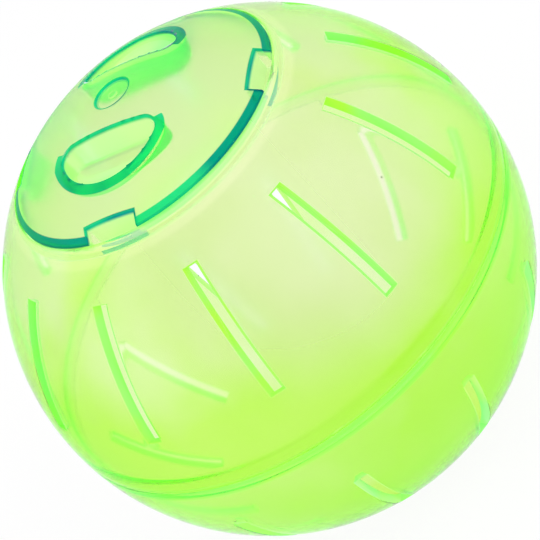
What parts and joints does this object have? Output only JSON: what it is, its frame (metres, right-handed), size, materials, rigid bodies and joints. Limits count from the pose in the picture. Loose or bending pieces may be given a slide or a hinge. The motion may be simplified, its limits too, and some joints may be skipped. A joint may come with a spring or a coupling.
{
  "type": "hamster ball",
  "caption": "Translucent green run-about ball for a hamster: slotted half shells pushed together at a seam, and a domed lift-out lid with finger wells.",
  "frame": {"origin": "centre of the ball", "axes": "+Z out through the middle of the lid, X and Y in the plane of the seam, midway between vent slots"},
  "size_m": [0.12, 0.12, 0.1199],
  "materials": {
    "shell_plastic": "clear lime-green moulded polystyrene, glossy, greener at its edges",
    "lid_plastic": "clear pale lime-green moulded polystyrene, glossy, deep green at its edges"
  },
  "bodies": {
    "plain_half": {"plain_half": "shell_plastic"},
    "door_half": {"door_half": "shell_plastic"},
    "lid": {"lid": "lid_plastic"}
  },
  "joints": [
    {"name": "half_pull", "type": "slide", "parent": "plain_half", "child": "door_half", "axis": [0, 0, 1], "range_m": [0, 0.08]},
    {"name": "lid_lift", "type": "slide", "parent": "door_half", "child": "lid", "axis": [0, 0, 1], "range_m": [0, 0.06]}
  ]
}
